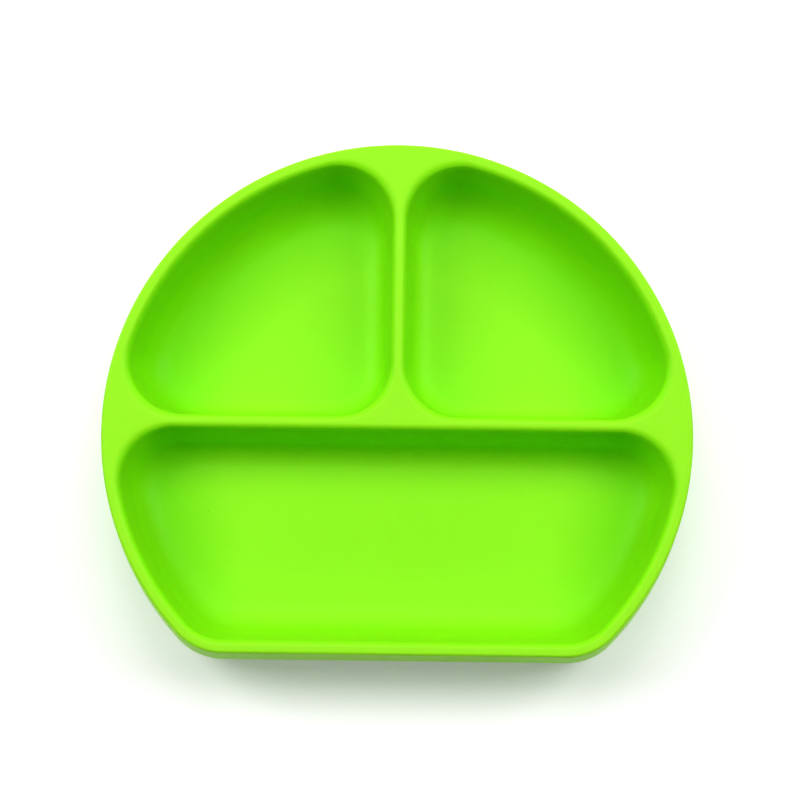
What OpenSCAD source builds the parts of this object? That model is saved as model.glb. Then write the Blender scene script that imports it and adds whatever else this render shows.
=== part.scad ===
// Divided suction plate, moulded in one piece of soft silicone.
// A round rim is cut off by a flat front. Two side compartments and one wide front
// compartment are sunk into it, and a thin suction skirt stands under the base.
// Every surface is a stack of outlines: each outline is a few tangent arcs whose sizes
// follow a profile of heights. +Z is up, the flat front faces -Y, and the origin lies
// on the table under the middle of the plate's own box.

/* [Plate] */
// Diameter of the round rim
plate_d = 215; // [190:1:240]
// Distance from the centre of the round rim to the flat front
front_flat = 80.2; // [72:0.2:90]
// Plan radius where the round rim turns into the flat front
front_corner = 23; // [18:1:28]
// Full height from the table to the top of the rim
plate_h = 35; // [31:1:42]

/* [Rim and dividers] */
// Width of the rim's top, as far as the edge of a compartment
rim_w = 4.4; // [4:0.1:7]
// Width of the top of a divider, from compartment to compartment
divider_w = 4.4; // [4.2:0.1:7]
// How far the cross divider lies behind the centre of the round rim
divider_y = 4.8; // [-5:0.2:15]
// Rounding from the top of the rim and dividers into the compartments
lip_r = 2.2; // [1:0.1:2.4]
// Rounding of the rim's outer edge
edge_r = 1.1; // [0.5:0.1:1.6]

/* [Compartments] */
// Thickness of the floor under the compartments
floor_t = 3.5; // [2.5:0.1:5]
// Plan radius of a compartment's corners at the rim
pocket_corner = 20; // [16:0.5:24]
// Plan radius of a compartment's corners at the floor
floor_corner = 11; // [7:0.5:14]
// Slope of the outer walls of a compartment, from upright
wall_draft = 14; // [8:0.5:18]
// Fillet between an outer wall and the floor
wall_fillet = 14; // [8:0.5:17]
// Slope of the walls of a divider, from upright
divider_draft = 7; // [4:0.5:10]
// Fillet between a divider and the floor
divider_fillet = 8; // [5:0.5:11]

/* [Outside] */
// Slope of the outside wall, from upright
outer_draft = 0.75; // [0.5:0.25:4]
// Rounding from the outside wall to the underside
base_r = 13; // [8:0.5:16]

/* [Suction skirt] */
// Height of the skirt under the base
skirt_h = 3.5; // [2.5:0.1:4]
// How far inside the rim the skirt touches the table
skirt_inset = 15; // [13:0.5:18]
// Width of the flat ring that touches the table
skirt_land = 2; // [1.5:0.1:3]
// How far the skirt flares outwards below its root
skirt_flare = 3; // [2:0.1:4]
// Thickness of the skirt at its root
skirt_t = 3; // [2.4:0.1:4]
// Thickness of the skirt at its lip
skirt_lip = 1.1; // [0.8:0.1:1.4]
// Plan radius of the skirt's corners
skirt_corner = 14; // [10:1:18]
// Width of the release tab on the skirt
tab_w = 14; // [10:0.5:20]
// Length of the release tab beyond the skirt
tab_l = 8; // [5:0.5:10]
// Thickness of the release tab
tab_t = 1.6; // [1.2:0.1:2]

/* [Smoothness] */
// Steps along the round part of the rim
rim_steps = 72; // [48:4:96]
// Steps around a corner
corner_steps = 12; // [8:1:16]
// Steps through a fillet or a rounding
fillet_steps = 7; // [5:1:9]

/* [Hidden] */
silicone = [0.55, 0.93, 0.13];
plate_r = plate_d / 2;
// The middle of the plate's own box, seen from the centre of the round rim
middle_y = (plate_r - front_flat) / 2;
floor_z = skirt_h + floor_t;
// Where the compartments end at the rim and at the dividers
pocket_r = plate_r - rim_w;
pocket_front = front_flat - rim_w;
divider_back = divider_y + divider_w / 2;
divider_front = divider_y - divider_w / 2;
// How far a compartment's cutter stands above the rim
cut_over = 2;
// How high the release tab lies over the table
tab_lift = 0.6;
// The lips on both sides of a divider always leave some of its top flat
lip = min(lip_r, 0.55 * divider_w);

// Points on an arc from angle a to angle b, without the last one unless closed is 1
function arc(c, r, a, b, steps, closed = 0) =
    let (n = round(steps))
    [for (i = [0 : n - 1 + closed]) let (t = a + (b - a) * i / n) c + r * [cos(t), sin(t)]];

// Centre of a corner of radius c that touches a circle of radius r from inside
// and keeps the distance d along the other axis
function corner_run(r, c, d) = sqrt(pow(r - c, 2) - pow(d, 2));

// The D of the rim: a circle of radius r, a flat at -f and corners of radius c
function rim_outline(r, f, c) =
    let (y = c - f, x = corner_run(r, c, y), turn = atan2(y, x))
    concat(arc([0, 0], r, turn, 0, rim_steps / 6),
           arc([0, 0], r, 0, 180, rim_steps * 2 / 3),
           arc([0, 0], r, 180, 180 - turn, rim_steps / 6),
           arc([-x, y], c, 180 - turn, 270, corner_steps, 1),
           arc([x, y], c, 270, 360 + turn, corner_steps));

// The rim's outline moved inwards by a distance, with corners of radius c
function rim_inset(d, c) = rim_outline(plate_r - d, front_flat - d, c);

// A side compartment: right of the line x = u, behind the line y = v, inside a circle r
function side_outline(r, u, v, c) =
    let (back = [u + c, corner_run(r, c, u + c)], outer = [corner_run(r, c, v + c), v + c],
         turn_out = atan2(outer[1], outer[0]), turn_back = atan2(back[1], back[0]))
    concat(arc(outer, c, -90, turn_out, corner_steps),
           arc([0, 0], r, turn_out, turn_back, rim_steps / 4),
           arc(back, c, turn_back, 180, corner_steps, 1),
           arc([u + c, v + c], c, 180, 270, corner_steps, 1));

// The front compartment: between the flat at -f and the line y = v, inside a circle r,
// with back corners of radius c and front corners of radius k
function front_outline(r, v, f, c, k) =
    let (yb = v - c, xb = corner_run(r, c, yb), turn_back = atan2(yb, xb),
         yf = k - f, xf = corner_run(r, k, yf), turn_front = atan2(yf, xf))
    concat(arc([xf, yf], k, -90, turn_front, corner_steps),
           arc([0, 0], r, turn_front, turn_back, rim_steps / 8),
           arc([xb, yb], c, turn_back, 90, corner_steps, 1),
           arc([-xb, yb], c, 90, 180 - turn_back, corner_steps),
           arc([0, 0], r, 180 - turn_back, 180 - turn_front, rim_steps / 8),
           arc([-xf, yf], k, 180 - turn_front, 270, corner_steps, 1));

// How far a compartment wall stands inside its edge at height z: a lip rounded into
// the top, a wall with the given draft and a fillet that runs into the floor
function wall_inset(z, draft, fillet) =
    let (lip_foot = plate_h - lip * (1 - sin(draft)),
         fillet_top = floor_z + fillet * (1 - sin(draft)),
         fillet_x = (plate_h - fillet_top) * tan(draft) + fillet * cos(draft))
    z > lip_foot ? sqrt(max(0, pow(lip, 2) - pow(z - plate_h + lip, 2))) - lip * tan(45 - draft / 2)
    : z > fillet_top ? (plate_h - z) * tan(draft)
    : fillet_x - sqrt(max(0, pow(fillet, 2) - pow(floor_z + fillet - z, 2)));

// Heights of the outlines of a compartment, from the floor to just above the rim
pocket_levels = concat(
    [for (i = [0 : fillet_steps]) let (t = (90 - wall_draft) * i / fillet_steps)
        floor_z + wall_fillet * (1 - cos(t))],
    [for (i = [0 : fillet_steps]) let (t = divider_draft + (90 - divider_draft) * i / fillet_steps)
        plate_h - lip * (1 - sin(t))],
    [plate_h + cut_over]);

function outer_at(z) = wall_inset(min(z, plate_h), wall_draft, wall_fillet);
function inner_at(z) = wall_inset(min(z, plate_h), divider_draft, divider_fillet);

// A corner's plan radius goes from its size at the rim to its size at the floor
function corner_at(z, at_rim) =
    at_rim + (floor_corner - at_rim) * max(0, inner_at(z)) / inner_at(floor_z);

function side_ring(z) = side_outline(pocket_r - outer_at(z), divider_w / 2 + inner_at(z),
    divider_back + inner_at(z), corner_at(z, pocket_corner));

function front_ring(z) = front_outline(pocket_r - outer_at(z), divider_front - inner_at(z),
    pocket_front - outer_at(z), corner_at(z, pocket_corner), corner_at(z, front_corner - rim_w));

// The outside as triples of inset, height and corner radius, from the roof of the suction
// hollow down the inside of the skirt, up its outside, around the base and up to the rim
wall_foot = skirt_h + base_r * (1 - sin(outer_draft));
wall_run = (plate_h - edge_r - wall_foot) * tan(outer_draft);
base_x = wall_run + base_r * cos(outer_draft);
skirt_root = skirt_inset + skirt_flare;
skirt = [[skirt_root + skirt_t, skirt_h], [skirt_inset + skirt_land, 0], [skirt_inset, 0],
    [skirt_inset - skirt_lip / 2, skirt_lip / 2], [skirt_inset, skirt_lip], [skirt_root, skirt_h]];
base = [for (i = [0 : fillet_steps]) let (t = (90 - outer_draft) * i / fillet_steps)
    [base_x - base_r * sin(t), skirt_h + base_r * (1 - cos(t))]];
edge = [for (i = [0 : fillet_steps]) let (t = outer_draft + (90 - outer_draft) * i / fillet_steps)
    [edge_r * (1 - cos(t)), plate_h - edge_r * (1 - sin(t))]];
outside = concat([for (p = skirt) [p[0], p[1], skirt_corner]],
    [for (p = concat(base, edge)) [p[0], p[1], front_corner - p[0]]]);

// A closed skin over a stack of outlines that have equally many points
module loft(outlines, heights) {
    n = len(outlines[0]);
    top = (len(outlines) - 1) * n;
    points = [for (k = [0 : len(outlines) - 1]) for (p = outlines[k]) [p[0], p[1], heights[k]]];
    sides = [for (k = [0 : len(outlines) - 2]) for (i = [0 : n - 1])
        let (j = (i + 1) % n, a = k * n + i, b = k * n + j)
        each [[a, a + n, b + n], [a, b + n, b]]];
    bottom = [for (i = [0 : n - 1]) i];
    lid = [for (i = [n - 1 : -1 : 0]) top + i];
    polyhedron(points = points, faces = concat([bottom], sides, [lid]), convexity = 6);
}

module outer_form() {
    loft([for (p = outside) rim_inset(p[0], p[2])], [for (p = outside) p[1]]);
}

module side_compartment() {
    loft([for (z = pocket_levels) side_ring(z)], pocket_levels);
}

module front_compartment() {
    loft([for (z = pocket_levels) front_ring(z)], pocket_levels);
}

// A thumb tab that lifts the skirt to let air in, hidden below the flat front. It is
// rooted in the ring that touches the table, and its end is round.
module release_tab() {
    translate([0, skirt_inset - front_flat, tab_lift])
        linear_extrude(tab_t)
            intersection() {
                translate([0, tab_w / 2 - tab_l])
                    union() {
                        circle(d = tab_w, $fn = 48);
                        translate([-tab_w / 2, 0]) square([tab_w, tab_l]);
                    }
                translate([-tab_w / 2, -tab_l]) square([tab_w, tab_l + skirt_land]);
            }
}

module suction_plate() {
    color(silicone)
        translate([0, -middle_y, 0]) {
            difference() {
                outer_form();
                side_compartment();
                mirror([1, 0, 0]) side_compartment();
                front_compartment();
            }
            release_tab();
        }
}

suction_plate();
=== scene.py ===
# %% [markdown]
# # A divided suction plate for toddlers
# The real plate is moulded in one piece of soft silicone. Its rim is round with a flat
# front, three compartments are sunk into it, and a skirt under the base holds it on the
# table. One piece could be sculpted, subdivided or carved with modifiers. Here it is
# lofted: its surfaces follow a few arcs, so code can place every point where the mould
# would, at any fineness.
#
# First the imported model is loaded. It is the fixed frame that the visible plate has to
# fit.

import math

import bmesh
import bpy
from mathutils import Matrix, Vector


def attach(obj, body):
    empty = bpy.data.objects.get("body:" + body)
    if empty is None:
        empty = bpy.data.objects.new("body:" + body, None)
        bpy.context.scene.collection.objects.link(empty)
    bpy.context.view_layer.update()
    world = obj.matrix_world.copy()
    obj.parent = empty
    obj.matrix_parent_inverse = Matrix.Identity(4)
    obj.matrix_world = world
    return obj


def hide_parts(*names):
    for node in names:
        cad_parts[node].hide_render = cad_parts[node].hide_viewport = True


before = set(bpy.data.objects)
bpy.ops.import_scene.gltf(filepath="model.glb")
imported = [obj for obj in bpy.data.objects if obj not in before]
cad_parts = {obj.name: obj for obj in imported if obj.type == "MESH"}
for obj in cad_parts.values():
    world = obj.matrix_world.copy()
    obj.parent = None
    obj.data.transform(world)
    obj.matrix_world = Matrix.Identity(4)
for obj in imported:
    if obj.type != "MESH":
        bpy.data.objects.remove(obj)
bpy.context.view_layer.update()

# %% [markdown]
# ## Sizes
# All sizes are in millimetres, as a mould maker would write them, and become metres only
# when the mesh is made. They repeat the sizes of the solid model, because this file can
# read nothing else. The middle of the round rim is not the middle of the plate's box:
# the flat front shortens the plate on that side, so everything moves forward by half of it.

# %% Sizes of the plate
MM = 0.001
PLATE_R, FRONT_FLAT, FRONT_CORNER, PLATE_H = 107.5, 80.2, 23.0, 35.0
RIM_W, DIVIDER_W, DIVIDER_Y = 4.4, 4.4, 4.8
LIP_R, EDGE_R = 2.2, 1.1
SKIRT_H, FLOOR_T = 3.5, 3.5
POCKET_CORNER, FLOOR_CORNER = 20.0, 11.0
WALL_DRAFT, WALL_FILLET = 14.0, 14.0
DIVIDER_DRAFT, DIVIDER_FILLET = 7.0, 8.0
OUTER_DRAFT, BASE_R = 0.75, 13.0
SKIRT_INSET, SKIRT_LAND, SKIRT_FLARE, SKIRT_T = 15.0, 2.0, 3.0, 3.0
SKIRT_LIP, SKIRT_CORNER = 1.1, 14.0
TAB_W, TAB_L, TAB_T, TAB_LIFT = 14.0, 8.0, 1.6, 0.6

FLOOR_Z = SKIRT_H + FLOOR_T
MIDDLE_Y = (PLATE_R - FRONT_FLAT) / 2
print("the round rim's centre lies", MIDDLE_Y, "mm in front of the plate's middle")

# %% [markdown]
# ## Outlines from tangent arcs
# Seen from above, every edge of the plate is a chain of arcs that run into each other
# without a kink. A corner of radius c touches a big circle of radius r from inside when
# the two centres lie r - c apart, which gives the corner's place by Pythagoras. Curves
# with handles could draw this too, but arcs keep the same number of points at any
# height, and that lets one outline be joined to the next.


# %% Arcs and corners
def arc(centre, radius, start, end, steps, closed=False):
    """Points on an arc, angles in degrees; the last point only if closed."""
    turns = [math.radians(start + (end - start) * i / steps) for i in range(steps + closed)]
    return [(centre[0] + radius * math.cos(t), centre[1] + radius * math.sin(t)) for t in turns]


def corner_run(r, c, d):
    """How far along one axis a corner c lies in a circle r, if it lies d along the other."""
    return math.sqrt((r - c) ** 2 - d ** 2)


def angle_of(point):
    return math.degrees(math.atan2(point[1], point[0]))


# %% [markdown]
# The rim is a D. A side compartment is a quarter of a round cake with soft corners, and
# the front compartment is a slice between the cross divider and the flat front. The
# large arcs get a point about every millimetre and a half, so that no facet shows.

# %% The outlines
HALF_TURN, RIM_CORNER = 192, 20
SIDE_ARC, SIDE_CORNER = 54, 22
FRONT_ARC, NEAR_CORNER, FAR_CORNER = 30, 18, 26


def rim_outline(r, flat, c):
    y = c - flat
    x = corner_run(r, c, y)
    turn = angle_of((x, y))
    return (arc((0, 0), r, turn, 0, HALF_TURN // 4) + arc((0, 0), r, 0, 180, HALF_TURN)
            + arc((0, 0), r, 180, 180 - turn, HALF_TURN // 4)
            + arc((-x, y), c, 180 - turn, 270, RIM_CORNER, True)
            + arc((x, y), c, 270, 360 + turn, RIM_CORNER))


def side_outline(r, u, v, c):
    outer = (corner_run(r, c, v + c), v + c)
    back = (u + c, corner_run(r, c, u + c))
    return (arc(outer, c, -90, angle_of(outer), SIDE_CORNER)
            + arc((0, 0), r, angle_of(outer), angle_of(back), SIDE_ARC)
            + arc(back, c, angle_of(back), 180, SIDE_CORNER, True)
            + arc((u + c, v + c), c, 180, 270, SIDE_CORNER, True))


def front_outline(r, v, flat, c, k):
    yb, yf = v - c, k - flat
    xb, xf = corner_run(r, c, yb), corner_run(r, k, yf)
    tb, tf = angle_of((xb, yb)), angle_of((xf, yf))
    return (arc((xf, yf), k, -90, tf, NEAR_CORNER) + arc((0, 0), r, tf, tb, FRONT_ARC)
            + arc((xb, yb), c, tb, 90, FAR_CORNER, True)
            + arc((-xb, yb), c, 90, 180 - tb, FAR_CORNER)
            + arc((0, 0), r, 180 - tb, 180 - tf, FRONT_ARC)
            + arc((-xf, yf), k, 180 - tf, 270, NEAR_CORNER, True))


# %% [markdown]
# ## The walls in section
# Cut through, a wall starts with a small rounded lip at the top, runs down with a slight
# slope that lets the plate leave its mould, and swings into the floor with a wide
# fillet. One function gives how far the wall has come in at a height, and both the outer
# walls and the dividers use it with their own slope and fillet.

# %% Profile of a wall
def wall_inset(z, draft, fillet):
    slope, lean = math.sin(math.radians(draft)), math.tan(math.radians(draft))
    lip_foot = PLATE_H - LIP_R * (1 - slope)
    fillet_top = FLOOR_Z + fillet * (1 - slope)
    if z > lip_foot:
        rise = z - PLATE_H + LIP_R
        lip_start = LIP_R * math.tan(math.radians(45 - draft / 2))
        return math.sqrt(max(0, LIP_R ** 2 - rise ** 2)) - lip_start
    if z > fillet_top:
        return (PLATE_H - z) * lean
    reach = (PLATE_H - fillet_top) * lean + fillet * math.cos(math.radians(draft))
    return reach - math.sqrt(max(0, fillet ** 2 - (FLOOR_Z + fillet - z) ** 2))


def outer_at(z):
    return wall_inset(z, WALL_DRAFT, WALL_FILLET)


def inner_at(z):
    return wall_inset(z, DIVIDER_DRAFT, DIVIDER_FILLET)


def corner_at(z, at_rim):
    """A corner's radius in plan goes from its size at the rim to its size at the floor."""
    return at_rim + (FLOOR_CORNER - at_rim) * max(0, inner_at(z)) / inner_at(FLOOR_Z)


# %% [markdown]
# The heights at which a compartment gets an outline are close together where the wall
# bends, in the fillet and the lip, and far apart on the straight wall between them.

# %% Outlines of the compartments, from the rim down to the floor
LIP_STEPS, WALL_STEPS, FILLET_STEPS = 10, 5, 18


def stops(steps, first, last):
    """Angles in radians, evenly spaced between two angles in degrees."""
    return [math.radians(first + (last - first) * i / steps) for i in range(steps + 1)]


lip_levels = [PLATE_H - LIP_R * (1 - math.sin(t)) for t in stops(LIP_STEPS, 90, DIVIDER_DRAFT)]
fillet_levels = [FLOOR_Z + WALL_FILLET * (1 - math.cos(t))
                 for t in stops(FILLET_STEPS, 90 - WALL_DRAFT, 0)]
wall_fall = fillet_levels[0] - lip_levels[-1]
wall_levels = [lip_levels[-1] + wall_fall * i / WALL_STEPS for i in range(1, WALL_STEPS)]
levels = lip_levels + wall_levels + fillet_levels


def side_ring(z):
    return side_outline(PLATE_R - RIM_W - outer_at(z), DIVIDER_W / 2 + inner_at(z),
                        DIVIDER_Y + DIVIDER_W / 2 + inner_at(z), corner_at(z, POCKET_CORNER))


def front_ring(z):
    return front_outline(PLATE_R - RIM_W - outer_at(z), DIVIDER_Y - DIVIDER_W / 2 - inner_at(z),
                         FRONT_FLAT - RIM_W - outer_at(z), corner_at(z, POCKET_CORNER),
                         corner_at(z, FRONT_CORNER - RIM_W))


right_rings = [[(x, y, z) for x, y in side_ring(z)] for z in levels]
left_rings = [[(-x, y, z) for x, y, z in reversed(ring)] for ring in right_rings]
front_rings = [[(x, y, z) for x, y in front_ring(z)] for z in levels]
print("outlines per compartment:", len(levels), "with", len(front_rings[0]), "points in front")

# %% [markdown]
# ## The outside
# The outside is one run of insets from the rim's edge over the upright wall and the
# round base to the skirt's lip, and back up inside the skirt to the roof of the suction
# hollow. The photograph doesn't show the underside: the skirt is a guess after such
# plates, and its few sharp edges stay sharp.

# %% Outlines of the outside, from the rim down
EDGE_STEPS, SIDE_STEPS, BASE_STEPS = 8, 6, 16
upright = math.radians(OUTER_DRAFT)
wall_top = PLATE_H - EDGE_R * (1 - math.sin(upright))
wall_foot = SKIRT_H + BASE_R * (1 - math.sin(upright))
wall_run = (wall_top - wall_foot) * math.tan(upright)
base_x = wall_run + BASE_R * math.cos(upright)

edge = [(EDGE_R * (1 - math.cos(t)), PLATE_H - EDGE_R * (1 - math.sin(t)))
        for t in stops(EDGE_STEPS, 90, OUTER_DRAFT)]
wall = [(wall_run * i / SIDE_STEPS, wall_top + (wall_foot - wall_top) * i / SIDE_STEPS)
        for i in range(1, SIDE_STEPS)]
base = [(base_x - BASE_R * math.sin(t), SKIRT_H + BASE_R * (1 - math.cos(t)))
        for t in stops(BASE_STEPS, 90 - OUTER_DRAFT, 0)]
root = SKIRT_INSET + SKIRT_FLARE
skirt = [(root, SKIRT_H), (SKIRT_INSET, SKIRT_LIP), (SKIRT_INSET - SKIRT_LIP / 2, SKIRT_LIP / 2),
         (SKIRT_INSET, 0), (SKIRT_INSET + SKIRT_LAND, 0), (root + SKIRT_T, SKIRT_H)]
outside = ([(d, z, FRONT_CORNER - d) for d, z in edge + wall + base]
           + [(d, z, SKIRT_CORNER) for d, z in skirt])
outer_rings = [[(x, y, z) for x, y in rim_outline(PLATE_R - d, FRONT_FLAT - d, c)]
               for d, z, c in outside]
print("outlines outside:", len(outer_rings), "with", len(outer_rings[0]), "points each")

# %% [markdown]
# ## Skin
# Neighbouring outlines have equally many points, so four points at a time make a face.
# The flat top between rim and compartments is the one place with holes in it, and
# Blender's triangle fill closes it. Each compartment's floor and the roof of the suction
# hollow get one more ring close to their edge: it keeps the shading of the big flat face
# level right up to the fillet.

# %% Build the mesh
FLOOR_RING, ROOF_RING = 0.96, 0.985
plate_mesh = bmesh.new()


def place(ring):
    return [plate_mesh.verts.new((x * MM, (y - MIDDLE_Y) * MM, z * MM)) for x, y, z in ring]


def skin(rings):
    """Faces between neighbouring rings; returns the first and the last ring."""
    rows = [place(ring) for ring in rings]
    for upper, lower in zip(rows, rows[1:]):
        for i in range(len(upper)):
            j = (i + 1) % len(upper)
            plate_mesh.faces.new([upper[i], lower[i], lower[j], upper[j]])
    return rows[0], rows[-1]


def shrunk(ring, share):
    cx, cy = (sum(p[k] for p in ring) / len(ring) for k in (0, 1))
    return [(cx + (x - cx) * share, cy + (y - cy) * share, z) for x, y, z in ring]


top, bottom = skin(outer_rings + [shrunk(outer_rings[-1], ROOF_RING)])
plate_mesh.faces.new(bottom[::-1])
tops = [top]
for rings in (right_rings, left_rings, front_rings):
    top, bottom = skin(rings + [shrunk(rings[-1], FLOOR_RING)])
    plate_mesh.faces.new(bottom)
    tops.append(top)

rim_edges = [plate_mesh.edges.get((ring[i], ring[i - 1])) for ring in tops
             for i in range(len(ring))]
bmesh.ops.triangle_fill(plate_mesh, edges=rim_edges, use_beauty=True, normal=(0, 0, 1))
bmesh.ops.recalc_face_normals(plate_mesh, faces=plate_mesh.faces)
open_edges = sum(not e.is_manifold for e in plate_mesh.edges)
print("faces:", len(plate_mesh.faces), "open edges:", open_edges)

mesh = bpy.data.meshes.new("suction_plate_silicone")
plate_mesh.to_mesh(mesh)
plate_mesh.free()
plate = bpy.data.objects.new("suction_plate_silicone", mesh)
bpy.context.scene.collection.objects.link(plate)

# %% [markdown]
# The release tab, a guess like the skirt, is a tongue with a round end, rooted in the
# skirt's ring. It is a solid of its own here, joined to the plate with a Boolean union,
# so that the pair is one closed skin as it comes out of the mould.

# %% The release tab
TAB_STEPS, SHY_OF_RING = 40, 0.02
round_end = arc((0, TAB_W / 2 - TAB_L), TAB_W / 2, 180, 360, TAB_STEPS, True)
rooted = SKIRT_LAND - SHY_OF_RING
tab_points = round_end + [(TAB_W / 2, rooted), (-TAB_W / 2, rooted)]
ring_y = SKIRT_INSET - FRONT_FLAT - MIDDLE_Y

tab_bm = bmesh.new()
low = [tab_bm.verts.new((x * MM, (y + ring_y) * MM, TAB_LIFT * MM)) for x, y in tab_points]
raised = bmesh.ops.extrude_face_region(tab_bm, geom=[tab_bm.faces.new(low)])
bmesh.ops.translate(tab_bm, vec=(0, 0, TAB_T * MM),
                    verts=[v for v in raised["geom"] if isinstance(v, bmesh.types.BMVert)])
bmesh.ops.recalc_face_normals(tab_bm, faces=tab_bm.faces)
tab_mesh = bpy.data.meshes.new("release_tab")
tab_bm.to_mesh(tab_mesh)
tab_bm.free()
tab = bpy.data.objects.new("release_tab", tab_mesh)
bpy.context.scene.collection.objects.link(tab)

union = plate.modifiers.new("release_tab", "BOOLEAN")
union.operation, union.object, union.solver = "UNION", tab, "EXACT"
bpy.context.view_layer.update()
finished = plate.evaluated_get(bpy.context.evaluated_depsgraph_get())
joined = bpy.data.meshes.new_from_object(finished)
plate.modifiers.clear()
plate.data = joined
bpy.data.objects.remove(tab)
print("faces with the tab:", len(plate.data.polygons))

# %% [markdown]
# ## Smooth shading
# Silicone has no crease except at the seal. Smooth shading blends the faces, edges over
# 40 degrees stay sharp, and the Weighted Normal modifier lets large flat faces win over
# the narrow ones beside them, so the floors and the top of the rim don't look dented.

# %% Shade smooth, weight the normals
SHARP_FROM = math.radians(40)
plate.data.shade_smooth()
plate.data.set_sharp_from_angle(angle=SHARP_FROM)
weighted = plate.modifiers.new("weighted_normals", "WEIGHTED_NORMAL")
weighted.keep_sharp = True

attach(plate, "root")
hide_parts("suction_plate")

# %% [markdown]
# ## Silicone
# The real surface is satin: it reflects lamps as wide soft patches, lets a little light
# under its skin, and a few specks cling to it. A Principled shader with some subsurface
# does the first part. A slight change of tint and a fine grain, as moulded silicone
# usually has them, go with the specks. All three are patterns of noise, and those are
# easiest to write as sums, so a small class turns Python expressions into nodes.


# %% Shader maths as expressions
class Shade:
    """A socket of a node tree, with arithmetic that adds nodes."""

    def __init__(self, tree, socket=None):
        self.tree, self.socket = tree, socket

    def node(self, kind, settings=None, **inputs):
        """A node with its settings; input i0 is the first socket, others go by name."""
        made = self.tree.nodes.new(kind)
        for name, value in (settings or {}).items():
            setattr(made, name, value)
        for name, value in inputs.items():
            by_number = name[0] == "i" and name[1:].isdigit()
            key = int(name[1:]) if by_number else name.replace("_", " ")
            if isinstance(value, Shade):
                self.tree.links.new(value.socket, made.inputs[key])
            else:
                made.inputs[key].default_value = value
        return made

    def math(self, operation, *values):
        made = self.node("ShaderNodeMath", {"operation": operation},
                         **{f"i{k}": v for k, v in enumerate(values)})
        return Shade(self.tree, made.outputs[0])

    def mix(self, low, high):
        """From colour low to colour high, with this socket as the factor."""
        made = self.node("ShaderNodeMix", {"data_type": "RGBA"}, i0=self, i6=low, i7=high)
        return Shade(self.tree, made.outputs[2])

    def clamped(self):
        return Shade(self.tree, self.node("ShaderNodeClamp", i0=self).outputs[0])

    def __add__(self, other):
        return self.math("ADD", self, other)

    def __sub__(self, other):
        return self.math("SUBTRACT", self, other)

    def __rsub__(self, other):
        return self.math("SUBTRACT", other, self)

    def __mul__(self, other):
        return self.math("MULTIPLY", self, other)

    def __lt__(self, other):
        return self.math("LESS_THAN", self, other)

    def __gt__(self, other):
        return self.math("GREATER_THAN", self, other)

    __radd__, __rmul__ = __add__, __mul__


# %% [markdown]
# Object coordinates are metres on the plate, so the scale of a noise is in bumps per
# metre: 9 gives the slow tint of an uneven mix, 2500 the grain of the mould. Specks come
# from a Voronoi pattern: each cell has a random number, and only the few cells with a
# low one show a dot at their middle.

# %% Noise and specks
TINT_SCALE, SPECK_SCALE = 9, 160
SPECK_SIZE, SPECK_SHARE = 0.045, 0.012
silicone = bpy.data.materials.new("lime_silicone")
silicone.use_nodes = True
tree = silicone.node_tree
shader = next(n for n in tree.nodes if n.type == "BSDF_PRINCIPLED")
start = Shade(tree)
where = Shade(tree, start.node("ShaderNodeTexCoord").outputs["Object"])


def noise(scale, detail=2.0):
    made = start.node("ShaderNodeTexNoise", Vector=where, Scale=scale, Detail=detail)
    return Shade(tree, made.outputs[0])


cells = start.node("ShaderNodeTexVoronoi", Vector=where, Scale=SPECK_SCALE)
cell_number = start.node("ShaderNodeSeparateColor", Color=Shade(tree, cells.outputs["Color"]))
near_middle = Shade(tree, cells.outputs["Distance"]) < SPECK_SIZE
chosen_cell = Shade(tree, cell_number.outputs[0]) < SPECK_SHARE
speck = near_middle * chosen_cell

# %% [markdown]
# In the photograph the flat top of the rim and the dividers is lightest and yellowest,
# and the green is fuller on the lips, on the walls and on the floor towards the round
# wall. The lamps here give only a part of that. A few greens that blend with the height
# and with the distance outwards take over part of the rest: painted light, a lighter
# green on the flat top, and painted shade, darker greens on the lips, on the walls and on
# the floor towards the round wall. They are a fit to the picture, not a known property of
# silicone, and they stay as they are in other light. The distance counts only the first
# 30 mm forward, because the front compartment meets the round wall just at its two ends.
# The greens could be painted on by hand, but places given in millimetres fit the shape
# from every side.

# %% Where a point lies, in millimetres
FORWARD_REACH = 30
along = start.node("ShaderNodeSeparateXYZ", Vector=where)
x_mm, y_mm, z_mm = (Shade(tree, along.outputs[axis]) * 1000 for axis in "XYZ")
forward = -1 * y_mm - MIDDLE_Y
radius = start.math("SQRT", x_mm * x_mm + forward * forward)
within_rim = (radius < PLATE_R - RIM_W / 2) * (forward < FRONT_FLAT - RIM_W / 2)
round_part = start.math("MINIMUM", forward, FORWARD_REACH)
outwards = start.math("SQRT", x_mm * x_mm + round_part * round_part)


def ramp(value, begin, width):
    """0 up to begin, and 1 from the width further on, in the unit of value."""
    return ((value - begin) * (1 / width)).clamped()


# Where each blend of painted light on the top and painted shade below begins, and how wide it is
TOP_BLEND, LIP_BLEND = (PLATE_H - 0.35, 0.3), (PLATE_H - 5.0, 3.5)
FLOOR_BLEND, WALL_BLEND = (FLOOR_Z + 0.05, 4.0), (64, 24)
on_top = ramp(z_mm, *TOP_BLEND)
on_lip = ramp(z_mm, *LIP_BLEND)
off_floor = ramp(z_mm, *FLOOR_BLEND)
near_wall = ramp(outwards, *WALL_BLEND)
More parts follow.
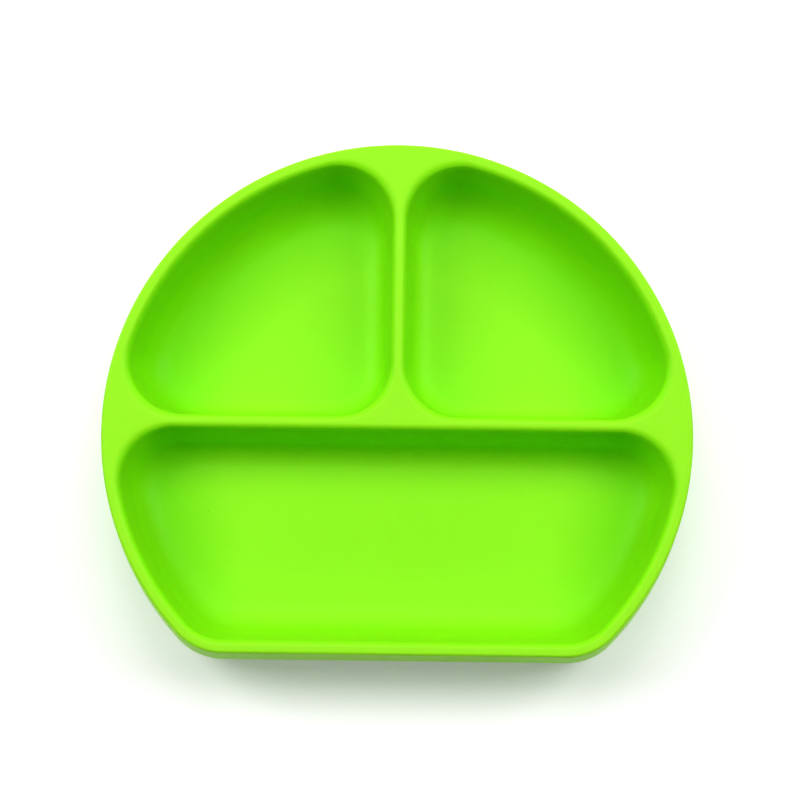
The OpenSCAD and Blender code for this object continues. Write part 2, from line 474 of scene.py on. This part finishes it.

# %% Greens, with painted light on the top and painted shade below
# The lighter, yellower green is painted light on the flat top, and the outside takes it too. The
# lip, wall and outer greens are painted shade.
PAINTED_LIGHT_TOP_AND_OUTSIDE_LIME, LIP_PAINTED_SHADE_LIME = (0.335, 0.895, 0.014, 1), (0.270, 0.890, 0.005, 1)
WALL_PAINTED_SHADE_AND_PATCH_LIME, FLOOR_LIME = (0.228, 0.765, 0.003, 1), (0.308, 0.888, 0.011, 1)
OUTER_WALL_PAINTED_SHADE_LIME, FLOOR_EDGE_PAINTED_SHADE_LIME = (0.200, 0.715, 0.002, 1), (0.215, 0.800, 0.001, 1)
SPECK_TINT = (0.16, 0.55, 0.01, 1)
PATCH_GAIN, PATCH_CUT = 1.6, 0.3
UNEVEN, SPECK_COVER = 0.12, 0.7
# Painted shade towards the round wall: the floor and the walls get darker greens there.
floor_with_painted_shade = near_wall.mix(FLOOR_LIME, FLOOR_EDGE_PAINTED_SHADE_LIME)
wall_painted_shade = near_wall.mix(WALL_PAINTED_SHADE_AND_PATCH_LIME, OUTER_WALL_PAINTED_SHADE_LIME)
# Painted shade: a greener lip and darker walls inside the compartments, and painted light on the
# flat top.
pocket_painted_shade = on_lip.mix(off_floor.mix(floor_with_painted_shade, wall_painted_shade), LIP_PAINTED_SHADE_LIME)
painted_light_and_shade = within_rim.mix(PAINTED_LIGHT_TOP_AND_OUTSIDE_LIME, on_top.mix(pocket_painted_shade, PAINTED_LIGHT_TOP_AND_OUTSIDE_LIME))
patches = (noise(TINT_SCALE) * PATCH_GAIN - PATCH_CUT).clamped()
# Random patches of the silicone's own uneven tint blend towards the walls' painted shade green, and
# the specks go on top.
colour = (speck * SPECK_COVER).mix((patches * UNEVEN).mix(painted_light_and_shade, WALL_PAINTED_SHADE_AND_PATCH_LIME), SPECK_TINT)

# %% [markdown]
# Roughness wanders a little, as on silicone that has been wiped. Two sizes of noise make
# very low bumps: a grain about 0.4 mm across and ripples about 8 mm across. What is the
# same all over, such as the refraction and how far light travels inside, is set on the
# shader itself. The reflections are set weaker there than silicone's own, because at
# twice this strength the fillets already looked milky beside the photograph.

# %% The silicone material
SATIN, WIPED, WIPE_SCALE = 0.40, 0.06, 60
GRAIN_SCALE, RIPPLE_SCALE, RIPPLE = 2500, 120, 0.6
GRAIN_SHARE, GRAIN_DEPTH = 0.06, 0.0002
rough = SATIN + noise(WIPE_SCALE, 3) * WIPED
grain_height = noise(GRAIN_SCALE, 1) + noise(RIPPLE_SCALE) * RIPPLE
grain = start.node("ShaderNodeBump", Strength=GRAIN_SHARE, Distance=GRAIN_DEPTH,
                   Height=grain_height)

tree.links.new(colour.socket, shader.inputs["Base Color"])
tree.links.new(rough.socket, shader.inputs["Roughness"])
tree.links.new(grain.outputs[0], shader.inputs["Normal"])
for name, value in {"IOR": 1.41, "Specular IOR Level": 0.12, "Subsurface Weight": 0.45,
                    "Subsurface Radius": (0.8, 1.0, 0.3), "Subsurface Scale": 0.0005}.items():
    shader.inputs[name].default_value = value
plate.data.materials.clear()
plate.data.materials.append(silicone)
print("silicone nodes:", len(tree.nodes))

# %% [markdown]
# ## Table and light
# The photograph is a shop picture: a white ground and soft light without hard edges. Four
# panels give that here, one at each side a little behind the plate, and a high and a low
# one behind it. The walls that face the front stay dark, and a short faint shadow falls
# to the front. One dome of light would be quicker, but it would flatten the compartments.
# The ground is white paint with a little glow, and the room behind it is white, but only
# the camera and reflections see that: for the light that falls on the plate the room is
# nearly dark. So the background is white, and the plate is hardly lit by it.


# %% What the camera and reflections see
WHITE, BLACK = (1, 1, 1, 1), (0, 0, 0, 1)


def seen(tree):
    """1 for rays from the camera, a reflection or glass, 0 for light on its way to things."""
    ray = Shade(tree).node("ShaderNodeLightPath")
    camera_ray, gloss, glass = (
        Shade(tree, ray.outputs[f"Is {kind} Ray"]) for kind in ("Camera", "Glossy", "Transmission"))
    return (camera_ray + gloss + glass).clamped()


# %% [markdown]
# Near the plate the ground glows only so much that its shadow stays. Further off, where
# the panels don't reach, the glow rises to full white, so that the ground has no visible
# end in low views.

# %% The floor
PAINT, NEAR_GLOW = (0.96, 0.96, 0.96, 1), (0.27, 0.27, 0.27, 1)
CLEAR_OF_PLATE, FADE = 0.5, 0.8
bpy.ops.mesh.primitive_plane_add(size=8)
floor = bpy.context.object
floor.name = "floor"

white_floor = bpy.data.materials.new("white_floor")
white_floor.use_nodes = True
floor_tree = white_floor.node_tree
paint = next(n for n in floor_tree.nodes if n.type == "BSDF_PRINCIPLED")
for name, value in {"Base Color": PAINT, "Roughness": 0.9, "Specular IOR Level": 0.1,
                    "Emission Strength": 1.0}.items():
    paint.inputs[name].default_value = value
on_floor = Shade(floor_tree)
spot = Shade(floor_tree, on_floor.node("ShaderNodeTexCoord").outputs["Object"])
across = on_floor.node("ShaderNodeSeparateXYZ", Vector=spot)
x_floor, y_floor = (Shade(floor_tree, across.outputs[axis]) for axis in "XY")
distance = on_floor.math("SQRT", x_floor * x_floor + y_floor * y_floor)
glow = seen(floor_tree).mix(BLACK, ramp(distance, CLEAR_OF_PLATE, FADE).mix(NEAR_GLOW, WHITE))
floor_tree.links.new(glow.socket, paint.inputs["Emission Color"])
floor.data.materials.append(white_floor)

# %% The lamps
centre = Vector((0, -MIDDLE_Y * MM, PLATE_H * MM))
LAMP_REACH = 1.4


def soft_lamp(name, azimuth, elevation, width, height, strength):
    """A panel that faces the plate. Azimuth 0 is behind the plate, 90 to its right."""
    a, e = math.radians(azimuth), math.radians(elevation)
    towards = Vector((math.sin(a) * math.cos(e), math.cos(a) * math.cos(e), math.sin(e)))
    data = bpy.data.lights.new(name, "AREA")
    data.shape, data.size, data.size_y, data.energy = "RECTANGLE", width, height, strength
    lamp = bpy.data.objects.new(name, data)
    lamp.location = centre + towards * LAMP_REACH
    lamp.rotation_euler = towards.to_track_quat("Z", "Y").to_euler()
    bpy.context.scene.collection.objects.link(lamp)


soft_lamp("left_panel", -72, 44, 0.7, 0.8, 10.7)
soft_lamp("right_panel", 72, 44, 0.7, 0.8, 9.9)
soft_lamp("back_panel", 0, 68, 0.8, 0.8, 6.5)
soft_lamp("low_back_panel", 0, 20, 1.0, 0.5, 4.8)
print("lamps:", len(bpy.data.lights))

# %% The room
ROOM_LIGHT = 0.03
world = bpy.data.worlds.new("pale_room")
world.use_nodes = True
room = world.node_tree
dim, white = room.nodes["Background"], room.nodes.new("ShaderNodeBackground")
for background, strength in ((dim, ROOM_LIGHT), (white, 1.0)):
    background.inputs["Color"].default_value = WHITE
    background.inputs["Strength"].default_value = strength
pick = Shade(room).node("ShaderNodeMixShader", Fac=seen(room))
room.links.new(dim.outputs[0], pick.inputs[1])
room.links.new(white.outputs[0], pick.inputs[2])
room.links.new(pick.outputs[0], room.nodes["World Output"].inputs["Surface"])
bpy.context.scene.world = world

# %% [markdown]
# ## Camera
# The plate was photographed from almost straight above with a long lens. How far the
# flat front's outer wall shows gives the tilt from upright, 8.5 degrees, and the front
# edge's slope in the picture gives a small roll. A shift of the sensor puts the plate
# where it sits in the frame without changing the angle of view.

# %% The camera
TILT, ROLL, DISTANCE, LENS, SENSOR = 8.5, 0.74, 3.0, 372.0, 36.0
SHIFT = (0.0036, 0.0449)
t, r = math.radians(TILT), math.radians(ROLL)
back = Vector((0, -math.sin(t), math.cos(t)))
up = Vector((0, math.cos(t), math.sin(t)))
right = Vector((1, 0, 0))
cam_right = right * math.cos(r) + up * math.sin(r)
cam_up = up * math.cos(r) - right * math.sin(r)
camera_data = bpy.data.cameras.new("camera")
camera_data.lens, camera_data.sensor_width = LENS, SENSOR
camera_data.shift_x, camera_data.shift_y = SHIFT
camera_data.clip_end = 20
camera = bpy.data.objects.new("camera", camera_data)
turned = Matrix((cam_right, cam_up, back)).transposed().to_4x4()
camera.matrix_world = Matrix.Translation(centre + back * DISTANCE) @ turned
bpy.context.scene.collection.objects.link(camera)
bpy.context.scene.camera = camera
bpy.context.scene.view_settings.view_transform = "Standard"
print("camera at", [round(v, 3) for v in camera.location])
